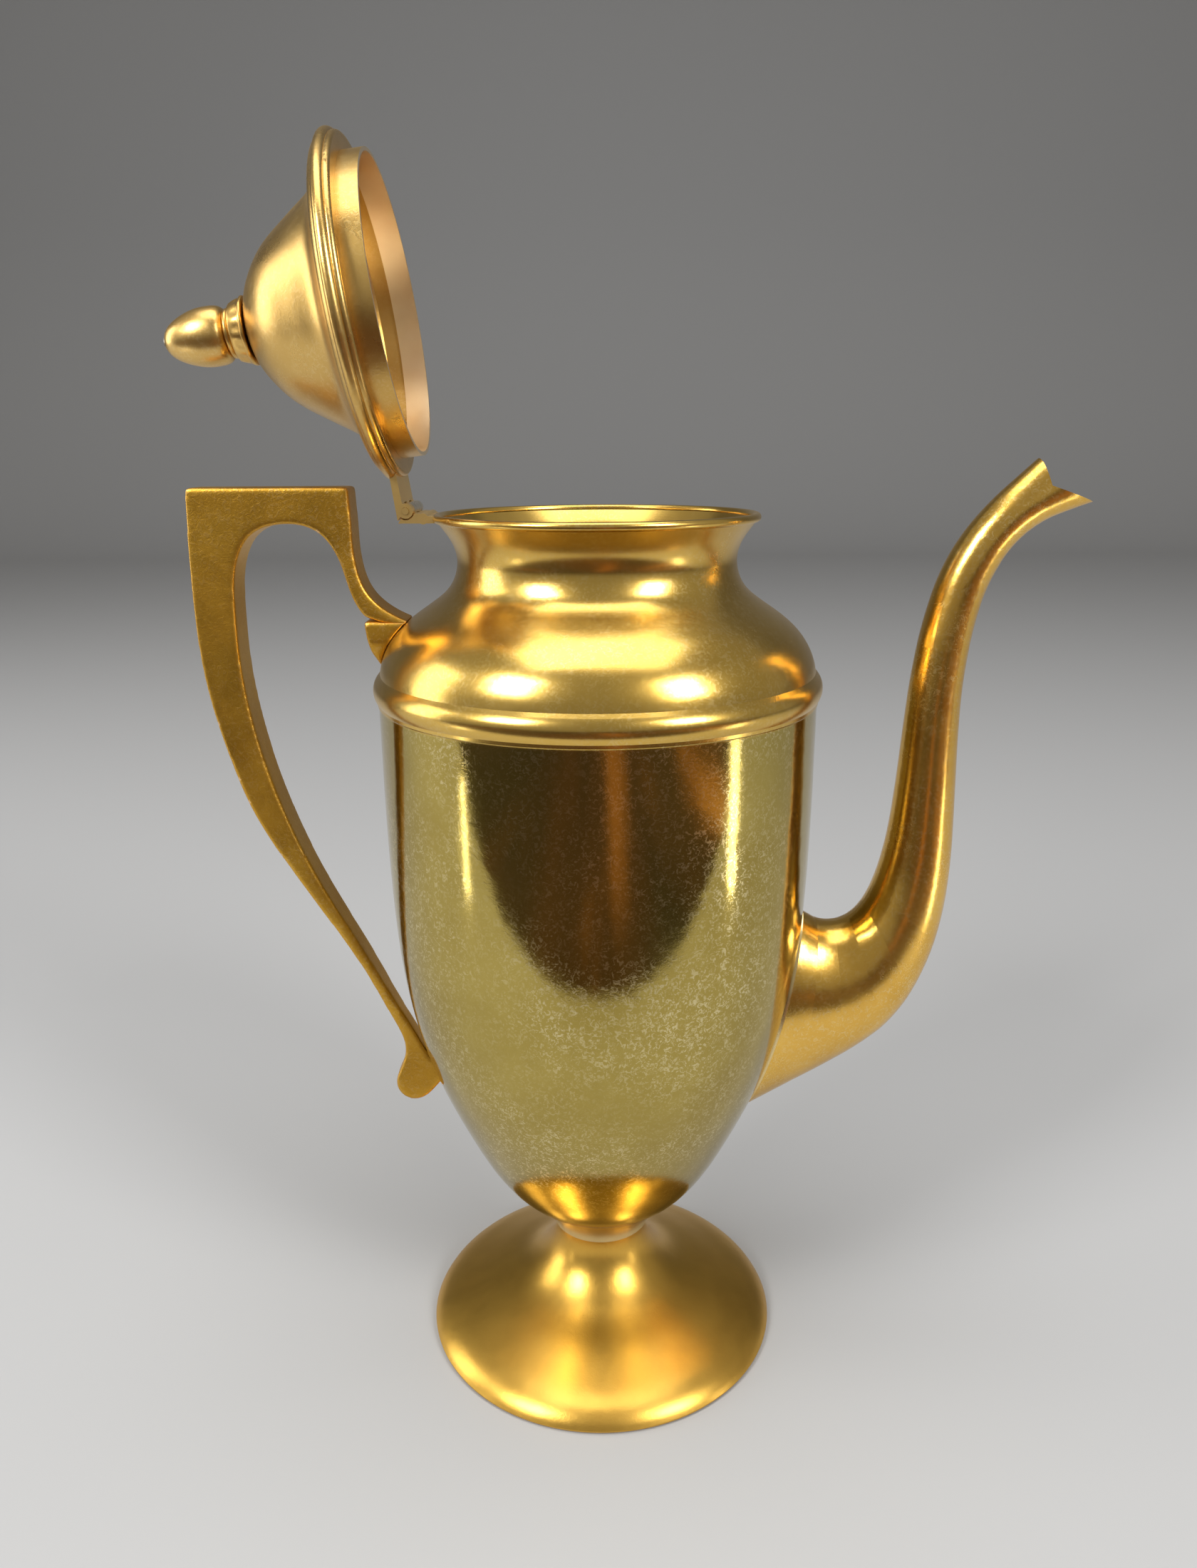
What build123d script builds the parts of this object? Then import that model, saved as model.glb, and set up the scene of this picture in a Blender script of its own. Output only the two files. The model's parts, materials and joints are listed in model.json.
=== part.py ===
"""Footed coffee pot with a swan-neck spout, a cast handle and a hinged lid.

Millimetres, Z up. The origin is the centre of the standing ring under the
foot. The spout points along +X and the handle along -X. The lid is modelled
fully open against its stop, which is its rest position, and closes by turning
about the hinge pin.
"""

import os
from math import cos, hypot, radians, sin

from build123d import *

# ---- driving dimensions ------------------------------------------------------

sheet = 1.0  # wall of the spun body
belt_z = 168.4  # seam between the lower shell and the shoulder
belt_top = 175.4  # top of the belt moulding
body_radius = 50.0  # lower shell at the belt
base_radius = 13.6  # lower shell where it meets the collar
base_z = 34.3
rim_radius = 35.3  # centre of the rolled mouth bead
rim_bead = 0.95
rim_z = 210.0  # top of the mouth

foot_height = 28.6
foot_wall = 1.2
foot_radius = 44.7
collar_bore = 9.5

spout_wall = 1.1
strainer_z = 90.0
strainer_hole = 1.5
strip_height = 0.5  # solder strip round the foot of the spout
strip_z = 88.9
strip_wide = 15.6
strip_high = 27.6

handle_half = 4.6  # half the thickness of the cast handle
handle_top = 215.9

lid_open = 97.8  # degrees from closed to the open stop
hinge_x = -41.2
hinge_z = 210.85
hinge_width = 16.0
knuckle_gap = 0.3
knuckle_radius = 1.6
socket_radius = 1.9
pin_radius = 0.75
pin_play = 0.05

lid_sheet = 0.9
lid_seat = 0.3  # the closed lid stands this far above the mouth
bezel_radius = 30.3
bezel_wall = 0.8
bezel_depth = 4.1
bezel_top = 1.3
stud_radius = 1.3
nut_radius = 3.0

# ---- helpers -----------------------------------------------------------------


def inset(points, wall):
    """The profile moved `wall` to the left of its direction of travel."""
    moved = []
    last = len(points) - 1
    for index, (r, z) in enumerate(points):
        before = points[max(index - 1, 0)]
        after = points[min(index + 1, last)]
        dr = after[0] - before[0]
        dz = after[1] - before[1]
        length = hypot(dr, dz)
        moved.append((r - wall * dz / length, z + wall * dr / length))
    return moved


# The closed lid stands on the pot's own axis. These planes carry it open.
swing = radians(lid_open)


def opened(u, w):
    """X and Z of a lid point that lies (u, w) from the pin when closed."""
    x = hinge_x + u * cos(swing) - w * sin(swing)
    z = hinge_z + u * sin(swing) + w * cos(swing)
    return x, z


lid_x, lid_z = opened(-hinge_x, rim_z - hinge_z)
lid_section = Plane(
    origin=(lid_x, 0, lid_z),
    x_dir=(cos(swing), 0, sin(swing)),
    z_dir=(0, -1, 0),
)
lid_axis = Axis((lid_x, 0, lid_z), (-sin(swing), 0, cos(swing)))
leaf_section = Plane(
    origin=(hinge_x, 0, hinge_z),
    x_dir=(cos(swing), 0, sin(swing)),
    z_dir=(0, -1, 0),
)
pin_section = Plane(origin=(hinge_x, 0, hinge_z), x_dir=(1, 0, 0), z_dir=(0, -1, 0))

# ---- foot and collar ---------------------------------------------------------

foot_profile = [
    (11.6, foot_height),
    (11.5, 26.6),
    (12.8, 21.6),
    (16.0, 17.2),
    (21.0, 13.4),
    (28.0, 10.4),
    (35.0, 7.5),
    (40.0, 5.3),
    (43.2, 3.1),
    (foot_radius, 1.1),
]
foot_inside = inset(foot_profile, -foot_wall)
foot_inside[0] = (foot_profile[0][0] - foot_wall, foot_height)

with BuildPart() as foot:
    with BuildSketch(Plane.XZ):
        with BuildLine():
            Spline(*foot_profile)
            ThreePointArc(foot_profile[-1], (foot_radius - 0.5, 0.35), foot_inside[-1])
            Spline(*reversed(foot_inside))
            Line(foot_inside[0], foot_profile[0])
        make_face()
    revolve(axis=Axis.Z)

with BuildPart() as foot_ring:
    with BuildSketch(Plane.XZ):
        with BuildLine():
            Polyline((40.6, 0), (43.3, 0), (43.3, 3.0), (40.6, 3.0), close=True)
        make_face()
    revolve(axis=Axis.Z)
    add(foot.part, mode=Mode.SUBTRACT)

with BuildPart() as foot_collar:
    with BuildSketch(Plane.XZ):
        with BuildLine():
            Line((collar_bore, foot_height), (12.5, foot_height))
            ThreePointArc((12.5, foot_height), (12.6, 31.6), (base_radius, base_z))
            Line((base_radius, base_z), (collar_bore, base_z))
            Line((collar_bore, base_z), (collar_bore, foot_height))
        make_face()
    revolve(axis=Axis.Z)

# ---- body --------------------------------------------------------------------

lower_profile = [
    (base_radius, base_z),
    (23.6, 42.0),
    (34.4, 60.0),
    (42.6, 80.0),
    (47.3, 100.0),
    (49.3, 122.0),
    (49.95, 150.0),
    (body_radius, belt_z),
]
lower_inside = inset(lower_profile, sheet)
lower_inside[-1] = (body_radius - sheet, belt_z)

with BuildPart() as lower_solid:
    with BuildSketch(Plane.XZ):
        with BuildLine():
            Spline(*lower_profile)
            Line(lower_profile[-1], (0, belt_z))
            Line((0, belt_z), (0, base_z))
            Line((0, base_z), lower_profile[0])
        make_face()
    revolve(axis=Axis.Z)

with BuildPart() as body_shell:
    with BuildSketch(Plane.XZ):
        with BuildLine():
            Spline(*lower_profile)
            Line(lower_profile[-1], lower_inside[-1])
            Spline(*reversed(lower_inside))
            Line(lower_inside[0], (0, lower_inside[0][1]))
            Line((0, lower_inside[0][1]), (0, base_z))
            Line((0, base_z), lower_profile[0])
        make_face()
    revolve(axis=Axis.Z)
    # the pierced strainer behind the spout
    with BuildSketch(Plane.YZ.offset(30)):
        with Locations((0, strainer_z)):
            Circle(strainer_hole)
            with PolarLocations(4.8, 6):
                Circle(strainer_hole)
            with PolarLocations(9.4, 12):
                Circle(strainer_hole)
    extrude(amount=30, mode=Mode.SUBTRACT)

shoulder_profile = [
    (49.45, belt_top),
    (48.5, 179.0),
    (46.2, 183.0),
    (42.1, 187.0),
    (36.4, 191.0),
    (33.0, 194.2),
    (31.5, 197.5),
    (31.2, 200.0),
    (31.9, 203.2),
    (33.6, 206.1),
    (35.3, 208.3),
]
shoulder_inside = inset(shoulder_profile, sheet)
shoulder_foot = (body_radius, belt_z)

with BuildPart() as rim_ring:
    with BuildSketch(Plane.XZ):
        with Locations((rim_radius, rim_z - rim_bead)):
            Circle(rim_bead)
    revolve(axis=Axis.Z)

with BuildPart() as shoulder_solid:
    with BuildSketch(Plane.XZ):
        with BuildLine():
            Line(shoulder_foot, shoulder_profile[0])
            Spline(*shoulder_profile)
            Line(shoulder_profile[-1], (0, shoulder_profile[-1][1]))
            Line((0, shoulder_profile[-1][1]), (0, belt_z))
            Line((0, belt_z), shoulder_foot)
        make_face()
    revolve(axis=Axis.Z)

with BuildPart() as shoulder_shell:
    with BuildSketch(Plane.XZ):
        with BuildLine():
            Line(shoulder_foot, shoulder_profile[0])
            Spline(*shoulder_profile)
            Line(shoulder_profile[-1], shoulder_inside[-1])
            Spline(*reversed(shoulder_inside))
            Line(shoulder_inside[0], (body_radius - sheet, belt_z))
            Line((body_radius - sheet, belt_z), shoulder_foot)
        make_face()
    revolve(axis=Axis.Z)
    add(rim_ring.part, mode=Mode.SUBTRACT)

with BuildPart() as belt_moulding:
    with BuildSketch(Plane.XZ):
        with BuildLine():
            Line(shoulder_foot, (50.25, belt_z + 0.3))
            Line((50.25, belt_z + 0.3), (50.3, belt_z + 1.0))
            ThreePointArc((50.3, belt_z + 1.0), (51.1, 171.4), (50.1, 174.6))
            Line((50.1, 174.6), shoulder_profile[0])
            Line(shoulder_profile[0], shoulder_foot)
        make_face()
    revolve(axis=Axis.Z)

# ---- spout -------------------------------------------------------------------

# Each section: its upper edge, its lower edge, and half its width across Y.
spout_sections = [
    ((41.0, 117.2), (28.0, 57.4), 15.4),
    ((49.0, 114.7), (37.6, 63.1), 14.8),
    ((53.0, 112.3), (48.0, 69.1), 13.4),
    ((57.0, 111.6), (59.0, 75.4), 12.1),
    ((61.0, 112.9), (70.0, 83.3), 10.9),
    ((64.4, 116.7), (77.4, 93.4), 9.8),
    ((66.8, 122.4), (82.4, 107.2), 8.9),
    ((68.5, 129.2), (84.5, 121.8), 7.9),
    ((69.8, 137.5), (84.7, 136.0), 7.3),
    ((70.9, 151.0), (84.3, 151.0), 6.6),
    ((71.9, 166.5), (84.1, 166.0), 6.0),
    ((73.4, 180.0), (84.9, 178.4), 5.7),
    ((76.1, 192.4), (86.9, 189.6), 5.4),
    ((79.7, 201.3), (90.0, 197.6), 5.3),
    ((84.6, 208.6), (94.3, 203.7), 5.2),
    ((90.6, 215.0), (101.2, 208.5), 5.2),
    ((100.6, 224.2), (114.3, 213.0), 5.2),
]


def spout_ellipse(section, wall):
    """Plane and radii of one section, drawn `wall` inside the outer surface."""
    (top_x, top_z), (low_x, low_z), half = section
    length = hypot(top_x - low_x, top_z - low_z)
    across = (top_x - low_x) / length
    along = (top_z - low_z) / length
    plane = Plane(
        origin=((top_x + low_x) / 2, 0, (top_z + low_z) / 2),
        x_dir=(across, 0, along),
        z_dir=(along, 0, -across),
    )
    return plane, length / 2 - wall, half - wall


def blend_between(before, start, end, after, t):
    """A Catmull-Rom value between start and end, so the spout curves evenly."""
    slope_in = (end - before) / 2
    slope_out = (after - start) / 2
    rise = (2 * t**3 - 3 * t**2 + 1) * start + (3 * t**2 - 2 * t**3) * end
    return rise + (t**3 - 2 * t**2 + t) * slope_in + (t**3 - t**2) * slope_out


def section_between(index, t):
    """The spout section that lies a fraction t after the numbered one."""
    last = len(spout_sections) - 1
    four = [spout_sections[min(max(index + step, 0), last)] for step in (-1, 0, 1, 2)]
    top_x, top_z = [blend_between(*[s[0][axis] for s in four], t) for axis in (0, 1)]
    low_x, low_z = [blend_between(*[s[1][axis] for s in four], t) for axis in (0, 1)]
    half = blend_between(*[s[2] for s in four], t)
    return (top_x, top_z), (low_x, low_z), half


# Lofted in short runs of a section, the one halfway on and the next.
spout_runs = []
for index in range(len(spout_sections) - 1):
    middle = section_between(index, 0.5)
    spout_runs.append((spout_sections[index], middle, spout_sections[index + 1]))

with BuildPart() as spout_outer:
    for run in spout_runs:
        for section in run:
            plane, long_radius, short_radius = spout_ellipse(section, 0)
            with BuildSketch(plane):
                Ellipse(long_radius, short_radius)
        loft()

with BuildPart() as spout_bore:
    for run in spout_runs:
        for section in run:
            plane, long_radius, short_radius = spout_ellipse(section, spout_wall)
            with BuildSketch(plane):
                Ellipse(long_radius, short_radius)
        loft()

with BuildPart() as spout:
    add(spout_outer.part)
    add(spout_bore.part, mode=Mode.SUBTRACT)
    add(lower_solid.part, mode=Mode.SUBTRACT)
    # the notched beak
    with BuildSketch(Plane.XZ):
        with BuildLine():
            Polyline(
                (96.9, 221.4),
                (98.7, 215.3),
                (109.6, 211.6),
                (125, 211.6),
                (125, 235),
                (96.9, 235),
                close=True,
            )
        make_face()
    extrude(amount=20, both=True, mode=Mode.SUBTRACT)

# A thin solder strip shows round the foot of the spout.
strip_outer = [(r + strip_height, z) for r, z in lower_profile]

with BuildPart() as spout_strip:
    with BuildSketch(Plane.XZ):
        with BuildLine():
            Spline(*strip_outer)
            Line(strip_outer[-1], lower_profile[-1])
            Spline(*reversed(lower_profile))
            Line(lower_profile[0], strip_outer[0])
        make_face()
    revolve(axis=Axis.Z)
    with BuildSketch(Plane.YZ.offset(20)):
        with Locations((0, strip_z)):
            Ellipse(strip_wide, strip_high)
    extrude(amount=40, mode=Mode.INTERSECT)
    add(spout_outer.part, mode=Mode.SUBTRACT)

# ---- handle ------------------------------------------------------------------

grip_outer_edge = [
    (-89.5, handle_top),
    (-90.2, 199.4),
    (-90.2, 186.6),
    (-88.9, 170.9),
    (-86.1, 157.5),
    (-81.9, 143.5),
    (-74.7, 129.2),
    (-65.7, 114.3),
    (-57.1, 98.9),
    (-51.8, 87.0),
    (-49.1, 78.4),
    (-50.5, 73.1),
    (-51.8, 69.2),
    (-50.0, 65.6),
    (-46.9, 64.6),
    (-43.7, 66.0),
    (-41.3, 68.6),
    (-37.6, 71.3),
]
grip_inner_edge = [
    (-38.0, 74.4),
    (-42.4, 76.2),
    (-45.8, 81.9),
    (-49.4, 88.9),
    (-56.8, 104.0),
    (-64.6, 119.2),
    (-71.1, 134.0),
    (-75.9, 148.5),
    (-79.1, 162.5),
    (-80.8, 176.4),
    (-80.9, 189.6),
    (-79.9, 199.1),
    (-76.2, 205.6),
    (-69.2, 208.0),
    (-61.4, 206.2),
    (-57.3, 200.6),
    (-55.2, 193.5),
    (-52.1, 187.6),
]
leg_inner_edge = [
    (-53.8, 207.7),
    (-53.3, 199.0),
    (-51.0, 192.7),
    (-47.5, 189.3),
    (-40.1, 186.0),
]
# half the thickness against height, from the drop at the foot to the flat top
handle_taper = [
    (3.3, 60.0),
    (3.4, 68.0),
    (2.7, 77.0),
    (3.2, 96.0),
    (4.1, 125.0),
    (handle_half, 160.0),
    (handle_half, 220.0),
]

with BuildPart() as pot_core:
    add(lower_solid.part)
    add(shoulder_solid.part)

with BuildPart() as handle:
    with BuildSketch(Plane.XZ):
        with BuildLine():
            Spline(*grip_outer_edge)
            Line(grip_outer_edge[-1], grip_inner_edge[0])
            Spline(*grip_inner_edge)
            Line(grip_inner_edge[-1], (-42.0, 184.0))
            Line((-42.0, 184.0), leg_inner_edge[-1])
            Spline(*reversed(leg_inner_edge))
            Line(leg_inner_edge[0], (-54.1, handle_top))
            Line((-54.1, handle_top), grip_outer_edge[0])
        make_face()
    extrude(amount=20, both=True)
    with BuildSketch(Plane.YZ):
        with BuildLine():
            Spline(*handle_taper)
            Line(handle_taper[-1], (-handle_half, 220.0))
            Spline(*[(-half, z) for half, z in reversed(handle_taper)])
            Line((-handle_taper[0][0], 60.0), handle_taper[0])
        make_face()
    extrude(amount=-120, mode=Mode.INTERSECT)
    add(pot_core.part, mode=Mode.SUBTRACT)

with BuildPart() as handle_pad:
    with BuildSketch(Plane.XZ):
        with BuildLine():
            Polyline(
                (-52.4, 186.7),
                (-51.9, 183.0),
                (-51.3, 179.9),
                (-49.9, 177.2),
                (-49.0, 175.4),
                (-46.0, 176.0),
                (-43.0, 184.0),
                (-43.0, 186.7),
                close=True,
            )
        make_face()
    extrude(amount=20, both=True)
    # seen from the grip the pad is a shield that narrows to a blunt point
    with BuildSketch(Plane.YZ):
        with BuildLine():
            Polyline(
                (5.2, 187.0),
                (5.4, 182.0),
                (3.4, 177.0),
                (1.2, 174.2),
                (-1.2, 174.2),
                (-3.4, 177.0),
                (-5.4, 182.0),
                (-5.2, 187.0),
                close=True,
            )
        make_face()
    extrude(amount=-60, mode=Mode.INTERSECT)
    add(handle.part, mode=Mode.SUBTRACT)
    add(pot_core.part, mode=Mode.SUBTRACT)
    add(belt_moulding.part, mode=Mode.SUBTRACT)

# ---- lid, drawn closed on the pot axis and carried open ----------------------

ring_low = lid_seat
bezel_low = -bezel_depth
dome_profile = [
    (30.2, 5.6),
    (27.4, 6.4),
    (25.1, 7.7),
    (23.2, 10.0),
    (21.6, 12.5),
    (19.8, 15.2),
    (17.7, 18.3),
    (15.2, 21.3),
    (12.0, 24.0),
    (8.6, 26.1),
    (4.5, 27.4),
]
dome_inside = inset(dome_profile, lid_sheet)

with BuildPart() as lid_dome:
    with BuildSketch(lid_section):
        with BuildLine():
            Spline(*dome_profile)
            Line(dome_profile[-1], (stud_radius, 27.5))
            Line((stud_radius, 27.5), (stud_radius, 26.6))
            Line((stud_radius, 26.6), dome_inside[-1])
            Spline(*reversed(dome_inside))
            Line(dome_inside[0], dome_profile[0])
        make_face()
    revolve(axis=lid_axis)

with BuildPart() as lid_ring:
    with BuildSketch(lid_section):
        with BuildLine():
            Line((bezel_radius, ring_low), (33.0, ring_low))
            ThreePointArc((33.0, ring_low), (33.95, 0.75), (34.0, 1.5))
            ThreePointArc((34.0, 1.5), (34.85, 2.7), (34.0, 3.9))
            Line((34.0, 3.9), (33.6, 4.05))
            ThreePointArc((33.6, 4.05), (32.8, 4.8), (31.6, 5.2))
            Line((31.6, 5.2), dome_profile[0])
            Line(dome_profile[0], dome_inside[0])
            Line(dome_inside[0], (bezel_radius, bezel_top))
            Line((bezel_radius, bezel_top), (bezel_radius, ring_low))
        make_face()
    revolve(axis=lid_axis)
    add(lid_dome.part, mode=Mode.SUBTRACT)

with BuildPart() as lid_bezel:
    with BuildSketch(lid_section):
        with BuildLine():
            Polyline(
                (bezel_radius - bezel_wall, bezel_low),
                (bezel_radius, bezel_low),
                (bezel_radius, bezel_top),
                (bezel_radius - bezel_wall, bezel_top),
                close=True,
            )
        make_face()
    revolve(axis=lid_axis)

# the finial: a waisted collar, an acorn and the stud that holds them
with BuildPart() as finial_collar:
    with BuildSketch(lid_section):
        with BuildLine():
            Line((stud_radius, 27.5), (6.9, 27.5))
            ThreePointArc((6.9, 27.5), (7.05, 28.05), (6.7, 28.35))
            ThreePointArc((6.7, 28.35), (6.45, 29.6), (5.9, 30.8))
            ThreePointArc((5.9, 30.8), (5.2, 31.1), (4.7, 31.1))
            Line((4.7, 31.1), (stud_radius, 31.1))
            Line((stud_radius, 31.1), (stud_radius, 27.5))
        make_face()
    revolve(axis=lid_axis)
    add(lid_dome.part, mode=Mode.SUBTRACT)

with BuildPart() as finial_bead:
    with BuildSketch(lid_section):
        with BuildLine():
            Line((stud_radius, 31.1), (4.5, 31.1))
            ThreePointArc((4.5, 31.1), (5.1, 31.7), (4.5, 32.3))
            Line((4.5, 32.3), (stud_radius, 32.3))
            Line((stud_radius, 32.3), (stud_radius, 31.1))
        make_face()
    revolve(axis=lid_axis)

with BuildPart() as finial_acorn:
    with BuildSketch(lid_section):
        with BuildLine():
            Line((stud_radius, 32.3), (4.3, 32.3))
            Spline(
                (4.3, 32.3),
                (5.6, 33.2),
                (6.05, 35.2),
                (5.95, 38.0),
                (5.2, 41.0),
                (4.0, 43.6),
                (2.7, 45.2),
                (stud_radius, 46.0),
            )
            Line((stud_radius, 46.0), (stud_radius, 32.3))
        make_face()
    revolve(axis=lid_axis)

with BuildPart() as finial_stud:
    with BuildSketch(lid_section):
        with BuildLine():
            Polyline(
                (0, 23.6),
                (stud_radius, 23.6),
                (stud_radius, 46.1),
                (0, 46.4),
                close=True,
            )
        make_face()
    revolve(axis=lid_axis)

with BuildPart() as finial_washer:
    with BuildSketch(lid_section):
        with BuildLine():
            Polyline(
                (stud_radius, 25.75),
                (4.2, 25.75),
                (4.2, 26.6),
                (stud_radius, 26.6),
                close=True,
            )
        make_face()
    revolve(axis=lid_axis)
    add(lid_dome.part, mode=Mode.SUBTRACT)

nut_plane = Plane(
    origin=lid_section.from_local_coords((0, 23.7, 0)),
    x_dir=(0, 1, 0),
    z_dir=(-sin(swing), 0, cos(swing)),
)
with BuildPart() as finial_nut:
    with BuildSketch(nut_plane):
        RegularPolygon(nut_radius, 6)
        Circle(stud_radius, mode=Mode.SUBTRACT)
    extrude(amount=2.0)

# ---- hinge -------------------------------------------------------------------

knuckle_width = (hinge_width - 4 * knuckle_gap) / 5
knuckle_step = knuckle_width + knuckle_gap
lid_spans = [-2 * knuckle_step, 0, 2 * knuckle_step]
pot_spans = [-knuckle_step, knuckle_step]

with BuildPart() as pot_leaf:
    with BuildSketch(Plane.XZ):
        with BuildLine():
            Polyline(
                (-42.85, 208.25),
                (-34.95, 208.25),
                (-34.95, 209.6),
                (-36.3, 209.75),
                (-38.0, 210.25),
                (-40.1, 210.3),
                (hinge_x, hinge_z),
                (-42.7, 208.55),
                close=True,
            )
        make_face()
    extrude(amount=hinge_width / 2, both=True)
    with BuildSketch(Plane.XZ):
        with Locations((-37.5, 209.2)):
            Circle(1.15)
    extrude(amount=hinge_width / 2, both=True)
    with BuildSketch(pin_section):
        Circle(knuckle_radius)
    extrude(amount=hinge_width, both=True, mode=Mode.SUBTRACT)
    for centre in lid_spans:
        with BuildSketch(pin_section.offset(-centre)):
            Circle(socket_radius)
        extrude(amount=knuckle_width / 2 + knuckle_gap, both=True, mode=Mode.SUBTRACT)
    add(rim_ring.part, mode=Mode.SUBTRACT)
    add(shoulder_solid.part, mode=Mode.SUBTRACT)

with BuildPart() as lid_leaf:
    with BuildSketch(leaf_section):
        with BuildLine():
            Polyline(
                (-1.75, 2.05),
                (9.2, 2.05),
                (9.2, 0.6),
                (2.2, 0.45),
                (0.0, 0.0),
                close=True,
            )
        make_face()
    extrude(amount=hinge_width / 2, both=True)
    with BuildSketch(pin_section):
        Circle(knuckle_radius)
    extrude(amount=hinge_width, both=True, mode=Mode.SUBTRACT)
    for centre in pot_spans:
        with BuildSketch(pin_section.offset(-centre)):
            Circle(socket_radius)
        extrude(amount=knuckle_width / 2 + knuckle_gap, both=True, mode=Mode.SUBTRACT)
    add(lid_ring.part, mode=Mode.SUBTRACT)

# the tubes alternate across the hinge: three on the lid, two on the pot
knuckle_places = []
for number, centre in enumerate(lid_spans):
    knuckle_places.append((f"lid_knuckle_{number + 1}", centre, pin_radius + pin_play))
for number, centre in enumerate(pot_spans):
    knuckle_places.append((f"pot_knuckle_{number + 1}", centre, pin_radius))

knuckles = {}
for name, centre, bore in knuckle_places:
    with BuildPart() as knuckle:
        with BuildSketch(pin_section.offset(-centre)):
            Circle(knuckle_radius)
            Circle(bore, mode=Mode.SUBTRACT)
        extrude(amount=knuckle_width / 2, both=True)
    knuckles[name] = knuckle.part

with BuildPart() as hinge_pin:
    with BuildSketch(pin_section):
        Circle(pin_radius)
    extrude(amount=hinge_width / 2 + 0.25, both=True)

# ---- export ------------------------------------------------------------------

pieces = {
    "foot": foot.part,
    "foot_ring": foot_ring.part,
    "foot_collar": foot_collar.part,
    "body_shell": body_shell.part,
    "shoulder_shell": shoulder_shell.part,
    "belt_moulding": belt_moulding.part,
    "rim_ring": rim_ring.part,
    "spout": spout.part,
    "spout_strip": spout_strip.part,
    "handle": handle.part,
    "handle_pad": handle_pad.part,
    "lid_dome": lid_dome.part,
    "lid_ring": lid_ring.part,
    "lid_bezel": lid_bezel.part,
    "finial_collar": finial_collar.part,
    "finial_bead": finial_bead.part,
    "finial_acorn": finial_acorn.part,
    "finial_stud": finial_stud.part,
    "finial_washer": finial_washer.part,
    "finial_nut": finial_nut.part,
    "pot_leaf": pot_leaf.part,
    "lid_leaf": lid_leaf.part,
    "hinge_pin": hinge_pin.part,
    **knuckles,
}

os.makedirs("parts", exist_ok=True)
for name, piece in pieces.items():
    piece.label = name
    export_step(piece, f"parts/{name}.step")
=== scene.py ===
"""Looks of the footed coffee pot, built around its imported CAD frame.

Metres, Z up, in the CAD's own frame: the foot stands on the floor at the
origin, the spout points along +X and the lid is open at rest.
"""

import json
import math

import bmesh
import bpy
from mathutils import Matrix, Vector


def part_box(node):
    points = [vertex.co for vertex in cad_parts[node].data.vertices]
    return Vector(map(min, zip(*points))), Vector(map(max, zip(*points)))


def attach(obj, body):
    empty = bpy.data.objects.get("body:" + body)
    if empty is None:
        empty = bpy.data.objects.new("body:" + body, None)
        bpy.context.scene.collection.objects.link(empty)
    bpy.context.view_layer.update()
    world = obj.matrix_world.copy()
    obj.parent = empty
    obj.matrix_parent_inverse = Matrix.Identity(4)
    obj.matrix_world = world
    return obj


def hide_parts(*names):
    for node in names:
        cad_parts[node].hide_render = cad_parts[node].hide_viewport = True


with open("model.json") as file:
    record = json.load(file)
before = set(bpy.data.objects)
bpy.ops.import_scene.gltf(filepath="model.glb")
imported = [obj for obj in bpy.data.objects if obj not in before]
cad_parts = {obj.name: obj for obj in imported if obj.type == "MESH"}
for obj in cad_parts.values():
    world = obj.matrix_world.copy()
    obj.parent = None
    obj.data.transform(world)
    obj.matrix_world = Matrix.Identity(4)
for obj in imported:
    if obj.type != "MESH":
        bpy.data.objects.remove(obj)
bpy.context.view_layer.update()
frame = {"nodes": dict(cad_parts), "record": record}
nodes = frame["nodes"]
slot_of = {s["node"]: s["material_slot"] for s in frame["record"]["subparts"]}

# ---- shapes that Blender adds ------------------------------------------------

CORNER = math.radians(24)  # faces that meet more sharply than this keep a crease

CAST_VOXEL = 0.00035  # grain of a casting's dense skin
CAST_PASSES = 26  # smoothing passes that round its edges
CAST_STEP = 0.5  # how far each pass moves the skin

FILED_NODES = ("pot_leaf", "lid_leaf", "lid_bezel", "hinge_pin")
FILED_WIDTH = 0.00022  # width of their filed edges
FILED_ROWS = 2  # facets across a filed edge
FILED_CORNER = math.radians(35)  # flatter edges than this are not filed

DIMPLES = 12  # hammered dimples round the finial's collar
DIMPLE_DEPTH = 0.00022
DIMPLE_REACH = 0.0012  # how far along the collar a dimple fades
DIMPLED_RADIUS = 0.003  # nothing nearer the collar's axis is pressed
COLLAR_EDGE = 0.0006  # longer edges are divided before the dimples go in
COLLAR_CUTS = 3
WELD = 1e-6  # vertices closer than this are one

DOWNWARD = -0.5  # a face turned this far from the acorn looks out of the lid's open side

# ---- metals ------------------------------------------------------------------

CLOUD_SCALE = 38  # slow changes of colour
ROUGH_SCALE = 55  # slow changes of gloss
PATCH_SCALE = 30  # where the speckle gathers
GRAIN_SCALE = 900  # the speckle itself, and the finest bumps
GRAIN_HEIGHT = 0.0002
SPECKLE_COLOUR = (0.97, 0.86, 0.52)
SPECKLE_ROUGH = 0.20  # roughness that the speckle adds

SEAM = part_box("belt_moulding")[0].z  # the shoulder's satin finish and painted sheen start here
SEAM_FADE = (-0.0004, 0.0006)  # and fades in across this height
RAMP_SCALE = 4.0  # brings heights up to 0.25 m into a ramp's range of 0 to 1
SHOULDER_ROUGH = 0.13  # roughness that the shoulder adds
SHOULDER_CALM = 0.65  # share of the speckle that the shoulder loses
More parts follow.
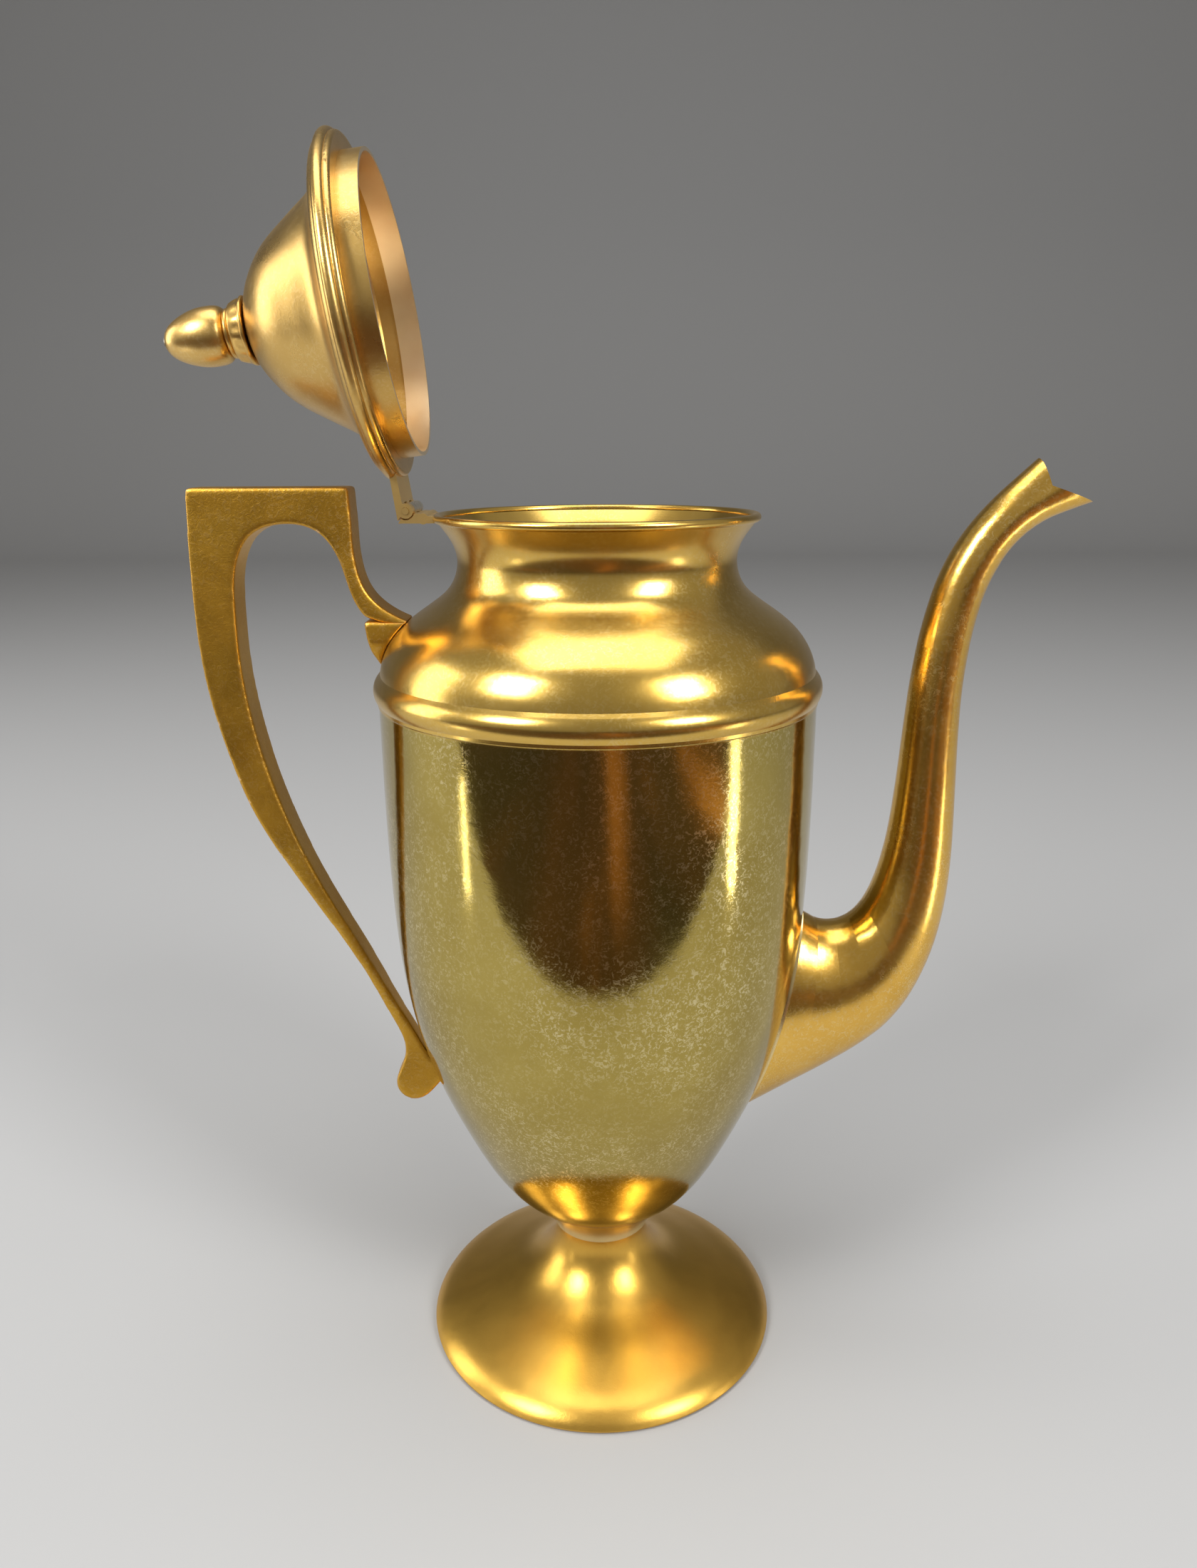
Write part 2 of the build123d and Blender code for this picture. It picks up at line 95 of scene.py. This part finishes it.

# name: light colour, dark colour, least and most roughness, speckle, bump strength,
# then, where they are needed, the painted edge highlight's colour and the shoulder's two
# painted-sheen colours
METALS = {
    # the shell's colours are kept dark as painted shade for the dark room the lower body
    # reflects; the shoulder's lighter pair is a painted sheen for the bright light above
    "polished_body": (
        (0.48, 0.37, 0.10), (0.38, 0.28, 0.065), 0.07, 0.13, 0.5, 0.04,
        None, ((0.78, 0.52, 0.13), (0.66, 0.42, 0.09)),
    ),
    "polished_spout": ((0.90, 0.56, 0.12), (0.72, 0.41, 0.07), 0.18, 0.28, 0.3, 0.05),
    "satin_foot": ((0.72, 0.43, 0.08), (0.60, 0.34, 0.06), 0.28, 0.38, 0.0, 0.10),
    "cast_handle": (
        (0.70, 0.40, 0.05), (0.52, 0.27, 0.03), 0.32, 0.46, 0.15, 0.30,
        # the handle's edge colour is a painted highlight
        (0.80, 0.52, 0.24),
    ),
    "satin_lid": ((0.74, 0.49, 0.16), (0.60, 0.37, 0.10), 0.24, 0.36, 0.2, 0.12),
    "lid_lining": ((0.92, 0.78, 0.54), (0.82, 0.62, 0.40), 0.28, 0.44, 0.0, 0.05),
    "finial_brass": ((0.80, 0.53, 0.18), (0.64, 0.39, 0.10), 0.26, 0.38, 0.15, 0.10),
    "hinge_brass": ((0.95, 0.68, 0.27), (0.84, 0.56, 0.18), 0.30, 0.42, 0.0, 0.03),
    "pale_collar": ((0.70, 0.52, 0.24), (0.52, 0.36, 0.14), 0.26, 0.36, 0.1, 0.08),
    "pale_solder": ((0.86, 0.68, 0.34), (0.70, 0.50, 0.20), 0.22, 0.34, 0.0, 0.05),
    "nickel_tube": ((0.78, 0.72, 0.58), (0.58, 0.50, 0.36), 0.24, 0.36, 0.0, 0.05),
    "bare_steel": ((0.50, 0.46, 0.40), (0.38, 0.33, 0.26), 0.34, 0.46, 0.0, 0.08),
}

# ---- studio ------------------------------------------------------------------

FLOOR_HALF = 7.0  # half the width of the floor
FLOOR_FRONT = -7.0
FLOOR_BACK = 2.2  # where the floor starts to curve up
SWEEP_RADIUS = 0.8
SWEEP_STEPS = 16
WALL_TOP = 4.0
FLOOR_GREY = (0.42, 0.42, 0.42)
FLOOR_ROUGH = 0.7

CARD_NEAR = -0.215  # the dark card's edge nearest the pot
CARD_FAR = -3.0
CARD_HALF = 3.0
CARD_LIFT = 0.0015  # height above the floor
CARD_ROUGH = 0.9
ROOM_SCALE = 3.2
ROOM_STRETCH = (1.0, 0.25, 1.0)  # below 1 draws the patches out along that axis
ROOM_BROWNS = [
    (0.40, (0.012, 0.005, 0.002)),
    (0.55, (0.05, 0.018, 0.006)),
    (0.66, (0.28, 0.11, 0.03)),
    (0.74, (0.60, 0.30, 0.12)),
]

WORLD_COLOUR = (1.0, 0.97, 0.93, 1)
WORLD_STRENGTH = 0.30
BELLY = (0, 0, 0.13)  # the large lights aim at the middle of the pot

# name, place, aim, size, watts, and whether it lights matt surfaces too; the strips
# are low, and their reflections stand as thin bright lines in the body
AREA_LIGHTS = [
    ("key_left", (-0.85, -0.75, 0.95), BELLY, (0.40, 0.50), 13, True),
    ("key_right", (0.85, -0.80, 0.85), BELLY, (0.36, 0.55), 12, True),
    ("overhead", (0.0, -0.1, 1.5), BELLY, (1.3, 0.9), 11.5, True),
    ("side_left", (-1.3, 0.1, 0.5), BELLY, (0.5, 0.9), 5, True),
    ("strip_right", (0.327, -0.134, 0.045), (0, 0, 0.045), (0.03, 0.09), 0.05, False),
    ("strip_left", (-0.327, -0.134, 0.035), (0, 0, 0.035), (0.02, 0.07), 0.02, False),
]

CAMERA_PLACE = (0.0, -0.2626, 0.2241)
CAMERA_DIP = math.radians(16.341)  # how far it looks down from level
CAMERA_ROLL = math.radians(0.351)
CAMERA_LENS = 26.48
CAMERA_SENSOR = 36.0

# ---- node helpers ------------------------------------------------------------


class Shader:
    """A short way to write a material's node tree."""

    def __init__(self, name):
        self.material = bpy.data.materials.new(name)
        self.material.use_nodes = True
        self.tree = self.material.node_tree
        self.bsdf = self.tree.nodes["Principled BSDF"]
        self.coord = self.tree.nodes.new("ShaderNodeTexCoord").outputs["Object"]

    def link(self, output, socket):
        self.tree.links.new(output, socket)

    def mapped(self, scale):
        """The object's own coordinates, stretched by a scale per axis."""
        node = self.tree.nodes.new("ShaderNodeMapping")
        node.inputs["Scale"].default_value = scale
        self.link(self.coord, node.inputs["Vector"])
        return node.outputs["Vector"]

    def noise(self, scale, detail, roughness, distortion=0.0, stretch=(1, 1, 1)):
        node = self.tree.nodes.new("ShaderNodeTexNoise")
        node.inputs["Scale"].default_value = scale
        node.inputs["Detail"].default_value = detail
        node.inputs["Roughness"].default_value = roughness
        node.inputs["Distortion"].default_value = distortion
        self.link(self.mapped(stretch), node.inputs["Vector"])
        return node.outputs["Fac"]

    def ramp(self, value, stops):
        """Maps a value to grey or colour stops given as (place, colour)."""
        node = self.tree.nodes.new("ShaderNodeValToRGB")
        ramp = node.color_ramp
        while len(ramp.elements) < len(stops):
            ramp.elements.new(0.5)
        for element, (place, colour) in zip(ramp.elements, stops):
            element.position = place
            grey = isinstance(colour, (int, float))
            element.color = (colour, colour, colour, 1) if grey else (*colour, 1)
        self.link(value, node.inputs["Fac"])
        return node.outputs["Color"]

    def math(self, kind, a, b):
        """A math node whose inputs are numbers or sockets."""
        node = self.tree.nodes.new("ShaderNodeMath")
        node.operation = kind
        for socket, value in zip(node.inputs, (a, b)):
            if isinstance(value, (int, float)):
                socket.default_value = value
            else:
                self.link(value, socket)
        return node.outputs["Value"]

    def mix(self, factor, a, b):
        """Colour a where the factor is 0 and colour b where it is 1."""
        node = self.tree.nodes.new("ShaderNodeMix")
        node.data_type = "RGBA"
        # sockets 0, 6 and 7 are the colour mix's factor, A and B
        self.link(factor, node.inputs[0])
        for socket, value in zip((node.inputs[6], node.inputs[7]), (a, b)):
            if isinstance(value, tuple):
                socket.default_value = (*value, 1)
            else:
                self.link(value, socket)
        return node.outputs[2]

    def bump(self, height, strength, distance):
        node = self.tree.nodes.new("ShaderNodeBump")
        node.inputs["Strength"].default_value = strength
        node.inputs["Distance"].default_value = distance
        self.link(height, node.inputs["Height"])
        self.link(node.outputs["Normal"], self.bsdf.inputs["Normal"])

    def height(self):
        """The Z coordinate."""
        node = self.tree.nodes.new("ShaderNodeSeparateXYZ")
        self.link(self.coord, node.inputs["Vector"])
        return node.outputs["Z"]

    def pointiness(self):
        return self.tree.nodes.new("ShaderNodeNewGeometry").outputs["Pointiness"]


def metal(name, light, dark, rough_low, rough_high, speckle, bump, edge=None, shoulder=None):
    """Plated metal: cloudy colour, uneven roughness, fine speckle and painted highlights on
    sharp edges.
    """
    s = Shader(name)
    cloud = s.ramp(s.noise(CLOUD_SCALE, 6, 0.6), [(0.3, 0.0), (0.72, 1.0)])
    colour = s.mix(cloud, light, dark)
    grain = s.noise(GRAIN_SCALE, 3, 0.7, 1.5)
    gloss = s.noise(ROUGH_SCALE, 5, 0.6, 0.4)
    rough = s.ramp(gloss, [(0.3, rough_low), (0.75, rough_high)])
    amount = speckle
    if shoulder:
        # the shoulder and neck are less highly polished than the shell; their lighter colour
        # is a painted sheen for the bright light above them
        fade = [((SEAM + step) * RAMP_SCALE, grey) for grey, step in enumerate(SEAM_FADE)]
        upper = s.ramp(s.math("MULTIPLY", s.height(), RAMP_SCALE), fade)
        rough = s.math("ADD", rough, s.math("MULTIPLY", upper, SHOULDER_ROUGH))
        colour = s.mix(upper, colour, s.mix(cloud, *shoulder))
        kept = s.math("SUBTRACT", 1.0, s.math("MULTIPLY", upper, SHOULDER_CALM))
        amount = s.math("MULTIPLY", speckle, kept)
    if speckle:
        worms = s.ramp(grain, [(0.52, 0.0), (0.60, 1.0)])
        patches = s.ramp(s.noise(PATCH_SCALE, 4, 0.6), [(0.38, 0.15), (0.62, 1.0)])
        mask = s.math("MULTIPLY", worms, s.math("MULTIPLY", patches, amount))
        colour = s.mix(mask, colour, SPECKLE_COLOUR)
        rough = s.math("ADD", rough, s.math("MULTIPLY", mask, SPECKLE_ROUGH))
    # painted highlight: faces at sharp edges, found by pointiness, are lightened
    if edge:
        painted_edge_highlight = s.ramp(s.pointiness(), [(0.52, 0.0), (0.60, 1.0)])
        colour = s.mix(painted_edge_highlight, colour, edge)
    s.link(colour, s.bsdf.inputs["Base Color"])
    s.link(rough, s.bsdf.inputs["Roughness"])
    s.bsdf.inputs["Metallic"].default_value = 1.0
    s.bump(grain, bump, GRAIN_HEIGHT)
    return s.material


materials = {name: metal(name, *look) for name, look in METALS.items()}

# ---- finish of the CAD nodes -------------------------------------------------


def smooth(mesh):
    """Smooth shading with creases at the corners."""
    mesh.shade_smooth()
    mesh.set_sharp_from_angle(angle=CORNER)


def middle(name):
    """The middle of a node's box."""
    low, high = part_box(name)
    return (low + high) / 2


def lid_axis(name):
    """The direction from the middle of a lid node to the middle of the acorn."""
    return (middle("finial_acorn") - middle(name)).normalized()


def line_inside(name):
    """Satin plate outside, and the pale worn lining on faces that look into the lid."""
    mesh = nodes[name].data
    mesh.materials.clear()
    mesh.materials.append(materials["satin_lid"])
    mesh.materials.append(materials["lid_lining"])
    centre = middle("lid_bezel")
    axis = lid_axis("lid_bezel")
    for face in mesh.polygons:
        out = face.center - centre
        out -= axis * out.dot(axis)
        faces_axis = face.normal.dot(out.normalized()) < 0.0
        faces_down = face.normal.dot(axis) < DOWNWARD
        face.material_index = int(faces_axis or faces_down)


for name, node in nodes.items():
    node.data.materials.clear()
    node.data.materials.append(materials[slot_of[name]])
    smooth(node.data)

line_inside("lid_dome")
line_inside("lid_bezel")

for name in FILED_NODES:
    bevel = nodes[name].modifiers.new("filed_edge", "BEVEL")
    bevel.width = FILED_WIDTH
    bevel.segments = FILED_ROWS
    bevel.limit_method = "ANGLE"
    bevel.angle_limit = FILED_CORNER
    bevel.harden_normals = True

# ---- cast handle -------------------------------------------------------------


def cast(name, part):
    """Copies a CAD node as one dense casting with softened edges."""
    mesh = bpy.data.meshes.new(name)
    copy = bmesh.new()
    copy.from_mesh(nodes[part].data)
    copy.to_mesh(mesh)
    copy.free()
    piece = bpy.data.objects.new(name, mesh)
    bpy.context.scene.collection.objects.link(piece)
    remesh = piece.modifiers.new("skin", "REMESH")
    remesh.mode = "VOXEL"
    remesh.voxel_size = CAST_VOXEL
    soften = piece.modifiers.new("soften", "SMOOTH")
    soften.factor = CAST_STEP
    soften.iterations = CAST_PASSES
    graph = bpy.context.evaluated_depsgraph_get()
    final = bpy.data.meshes.new_from_object(piece.evaluated_get(graph))
    piece.modifiers.clear()
    piece.data = final
    final.materials.clear()
    final.materials.append(materials[slot_of[part]])
    final.shade_smooth()
    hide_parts(part)
    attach(piece, "pot")


cast("handle_casting", "handle")
cast("handle_pad_casting", "handle_pad")

# ---- finial collar with its hammered dimples ---------------------------------


def dimpled_collar():
    """The CAD collar with a ring of shallow dimples pressed into its waist."""
    mesh = nodes["finial_collar"].data.copy()
    mesh.name = "dimpled_collar"
    centre = middle("finial_collar")
    axis = lid_axis("finial_collar")
    side = Vector((0, 1, 0))
    front = axis.cross(side)
    fine = bmesh.new()
    fine.from_mesh(mesh)
    bmesh.ops.remove_doubles(fine, verts=fine.verts, dist=WELD)
    long_edges = [e for e in fine.edges if e.calc_length() > COLLAR_EDGE]
    bmesh.ops.subdivide_edges(fine, edges=long_edges, cuts=COLLAR_CUTS, use_grid_fill=True)
    for vert in fine.verts:
        out = vert.co - centre
        along = out.dot(axis)
        out -= axis * along
        if out.length < DIMPLED_RADIUS:
            continue
        turn = math.atan2(out.dot(side), out.dot(front))
        waist = math.exp(-((along / DIMPLE_REACH) ** 2))
        wave = 0.5 + 0.5 * math.cos(DIMPLES * turn)
        vert.co -= out.normalized() * (DIMPLE_DEPTH * waist * wave)
    fine.to_mesh(mesh)
    fine.free()
    piece = bpy.data.objects.new("finial_collar_dimpled", mesh)
    bpy.context.scene.collection.objects.link(piece)
    smooth(mesh)
    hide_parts("finial_collar")
    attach(piece, "lid")


dimpled_collar()

# ---- floor, light and camera -------------------------------------------------


def stage_piece(name, verts, faces, material):
    mesh = bpy.data.meshes.new(name)
    mesh.from_pydata(verts, [], faces)
    mesh.shade_smooth()
    mesh.materials.append(material)
    piece = bpy.data.objects.new(name, mesh)
    bpy.context.scene.collection.objects.link(piece)
    return piece


def floor_grey():
    s = Shader("studio_floor")
    s.bsdf.inputs["Base Color"].default_value = (*FLOOR_GREY, 1)
    s.bsdf.inputs["Roughness"].default_value = FLOOR_ROUGH
    return s.material


def stage_sweep():
    """A pale floor that curves up into a backdrop far behind the pot."""
    points = [(FLOOR_FRONT, 0.0)]
    for step in range(SWEEP_STEPS + 1):
        turn = math.pi / 2 * step / SWEEP_STEPS
        rise = SWEEP_RADIUS * (1 - math.cos(turn))
        points.append((FLOOR_BACK + SWEEP_RADIUS * math.sin(turn), rise))
    points.append((FLOOR_BACK + SWEEP_RADIUS, WALL_TOP))
    verts = [(x, y, z) for y, z in points for x in (-FLOOR_HALF, FLOOR_HALF)]
    faces = [(i, i + 1, i + 3, i + 2) for i in range(0, 2 * len(points) - 2, 2)]
    stage_piece("floor", verts, faces, floor_grey())


def room_brown():
    """Warm dark browns in soft upright patches, like a dim wooden room."""
    s = Shader("dark_room")
    patches = s.noise(ROOM_SCALE, 3, 0.5, 0.6, ROOM_STRETCH)
    s.link(s.ramp(patches, ROOM_BROWNS), s.bsdf.inputs["Base Color"])
    s.bsdf.inputs["Roughness"].default_value = CARD_ROUGH
    return s.material


def dark_card():
    """The unlit room in front of the table: seen only as a reflection in the metal."""
    corners = [
        (-CARD_HALF, CARD_FAR), (CARD_HALF, CARD_FAR),
        (CARD_HALF, CARD_NEAR), (-CARD_HALF, CARD_NEAR),
    ]
    verts = [(x, y, CARD_LIFT) for x, y in corners]
    card = stage_piece("dark_card", verts, [(0, 1, 2, 3)], room_brown())
    card.visible_camera = False
    card.visible_diffuse = False
    card.visible_shadow = False


def area_light(name, place, aim, size, watts, spills):
    """A soft light that is itself unseen, and lights matt surfaces only if it spills."""
    data = bpy.data.lights.new(name, "AREA")
    data.shape = "RECTANGLE"
    data.size, data.size_y = size
    data.energy = watts
    light = bpy.data.objects.new(name, data)
    light.location = place
    heading = Vector(aim) - Vector(place)
    light.rotation_euler = heading.to_track_quat("-Z", "Y").to_euler()
    light.visible_camera = False
    light.visible_diffuse = spills
    bpy.context.scene.collection.objects.link(light)


def light_studio():
    world = bpy.data.worlds.new("studio")
    world.use_nodes = True
    background = world.node_tree.nodes["Background"]
    background.inputs["Color"].default_value = WORLD_COLOUR
    background.inputs["Strength"].default_value = WORLD_STRENGTH
    bpy.context.scene.world = world
    for row in AREA_LIGHTS:
        area_light(*row)


def place_camera():
    """The camera stands close in front of the pot and looks a little down on it."""
    data = bpy.data.cameras.new("camera")
    data.sensor_fit = "AUTO"
    data.sensor_width = CAMERA_SENSOR
    data.lens = CAMERA_LENS
    camera = bpy.data.objects.new("camera", data)
    tilt = Matrix.Rotation(math.pi / 2 - CAMERA_DIP, 4, "X")
    turn = tilt @ Matrix.Rotation(-CAMERA_ROLL, 4, "Z")
    camera.matrix_world = Matrix.Translation(CAMERA_PLACE) @ turn
    bpy.context.scene.collection.objects.link(camera)
    bpy.context.scene.camera = camera


stage_sweep()
dark_card()
light_studio()
place_camera()
bpy.context.scene.view_settings.view_transform = "Standard"
